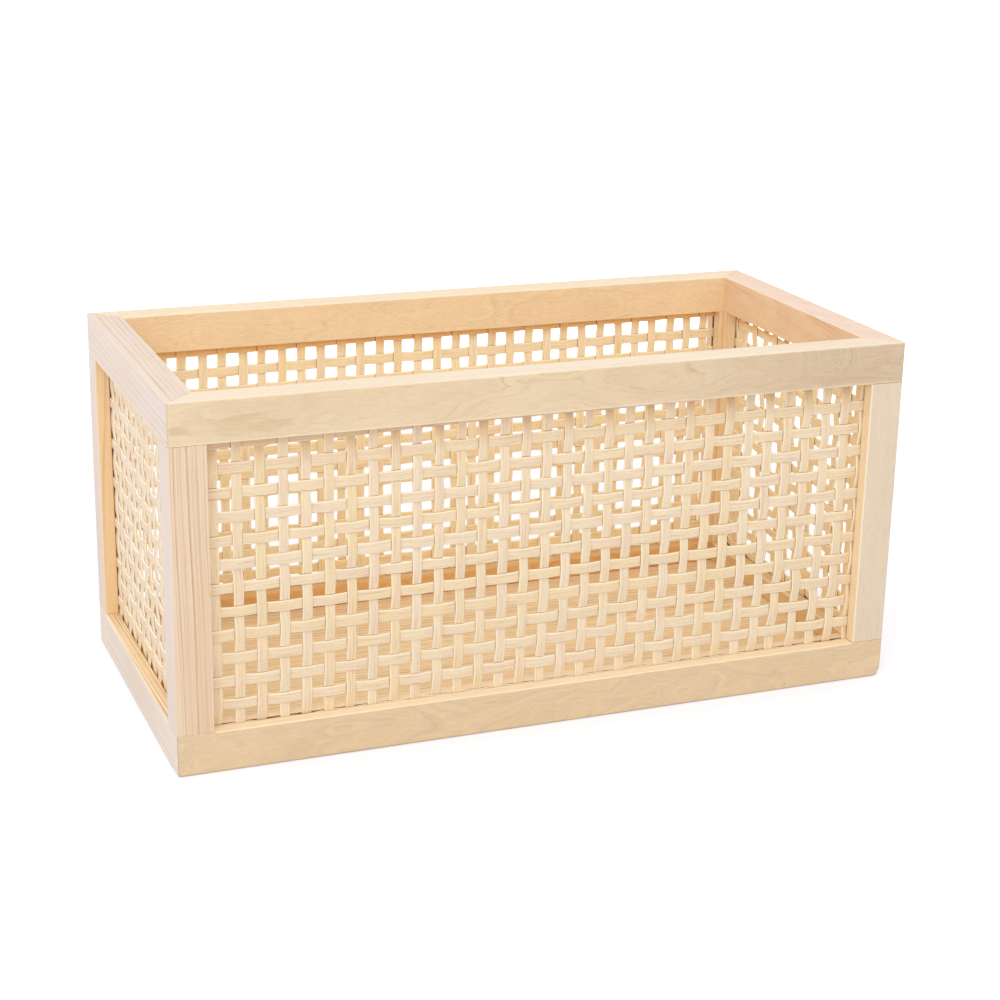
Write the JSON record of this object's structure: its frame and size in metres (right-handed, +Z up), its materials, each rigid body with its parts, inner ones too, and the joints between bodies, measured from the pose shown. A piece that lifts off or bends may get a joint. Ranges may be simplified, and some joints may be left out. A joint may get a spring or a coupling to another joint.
{
  "type": "rattan storage basket",
  "caption": "Open rectangular storage basket: four mitred wooden frames filled with open woven cane, standing round a thin floor board let into the bottom rails.",
  "frame": {"origin": "middle of the underside, on the surface the basket stands on", "axes": "+X along the length to the right, +Y to the back, +Z up; the front is at -Y"},
  "size_m": [0.334, 0.162, 0.16],
  "materials": {
    "frame_wood": "bare pale softwood, sanded",
    "floor_wood": "bare veneered board, sanded",
    "dowel_wood": "bare turned wood",
    "cane": "peeled rattan strip, matte with a slight sheen"
  },
  "bodies": {
    "root": {"front_top_rail": "frame_wood", "front_bottom_rail": "frame_wood", "front_left_stile": "frame_wood", "front_right_stile": "frame_wood", "right_top_rail": "frame_wood", "right_bottom_rail": "frame_wood", "right_front_stile": "frame_wood", "right_back_stile": "frame_wood", "back_top_rail": "frame_wood", "back_bottom_rail": "frame_wood", "back_right_stile": "frame_wood", "back_left_stile": "frame_wood", "left_top_rail": "frame_wood", "left_bottom_rail": "frame_wood", "left_back_stile": "frame_wood", "left_front_stile": "frame_wood", "front_cane_uprights": "cane", "front_cane_crossers": "cane", "right_cane_uprights": "cane", "right_cane_crossers": "cane", "back_cane_uprights": "cane", "back_cane_crossers": "cane", "left_cane_uprights": "cane", "left_cane_crossers": "cane", "floor_board": "floor_wood", "front_left_stile_bottom_dowel": "dowel_wood", "front_left_stile_top_dowel": "dowel_wood", "front_right_stile_bottom_dowel": "dowel_wood", "front_right_stile_top_dowel": "dowel_wood", "right_front_stile_bottom_dowel": "dowel_wood", "right_front_stile_top_dowel": "dowel_wood", "right_back_stile_bottom_dowel": "dowel_wood", "right_back_stile_top_dowel": "dowel_wood", "back_right_stile_bottom_dowel": "dowel_wood", "back_right_stile_top_dowel": "dowel_wood", "back_left_stile_bottom_dowel": "dowel_wood", "back_left_stile_top_dowel": "dowel_wood", "left_back_stile_bottom_dowel": "dowel_wood", "left_back_stile_top_dowel": "dowel_wood", "left_front_stile_bottom_dowel": "dowel_wood", "left_front_stile_top_dowel": "dowel_wood"}
  },
  "joints": []
}
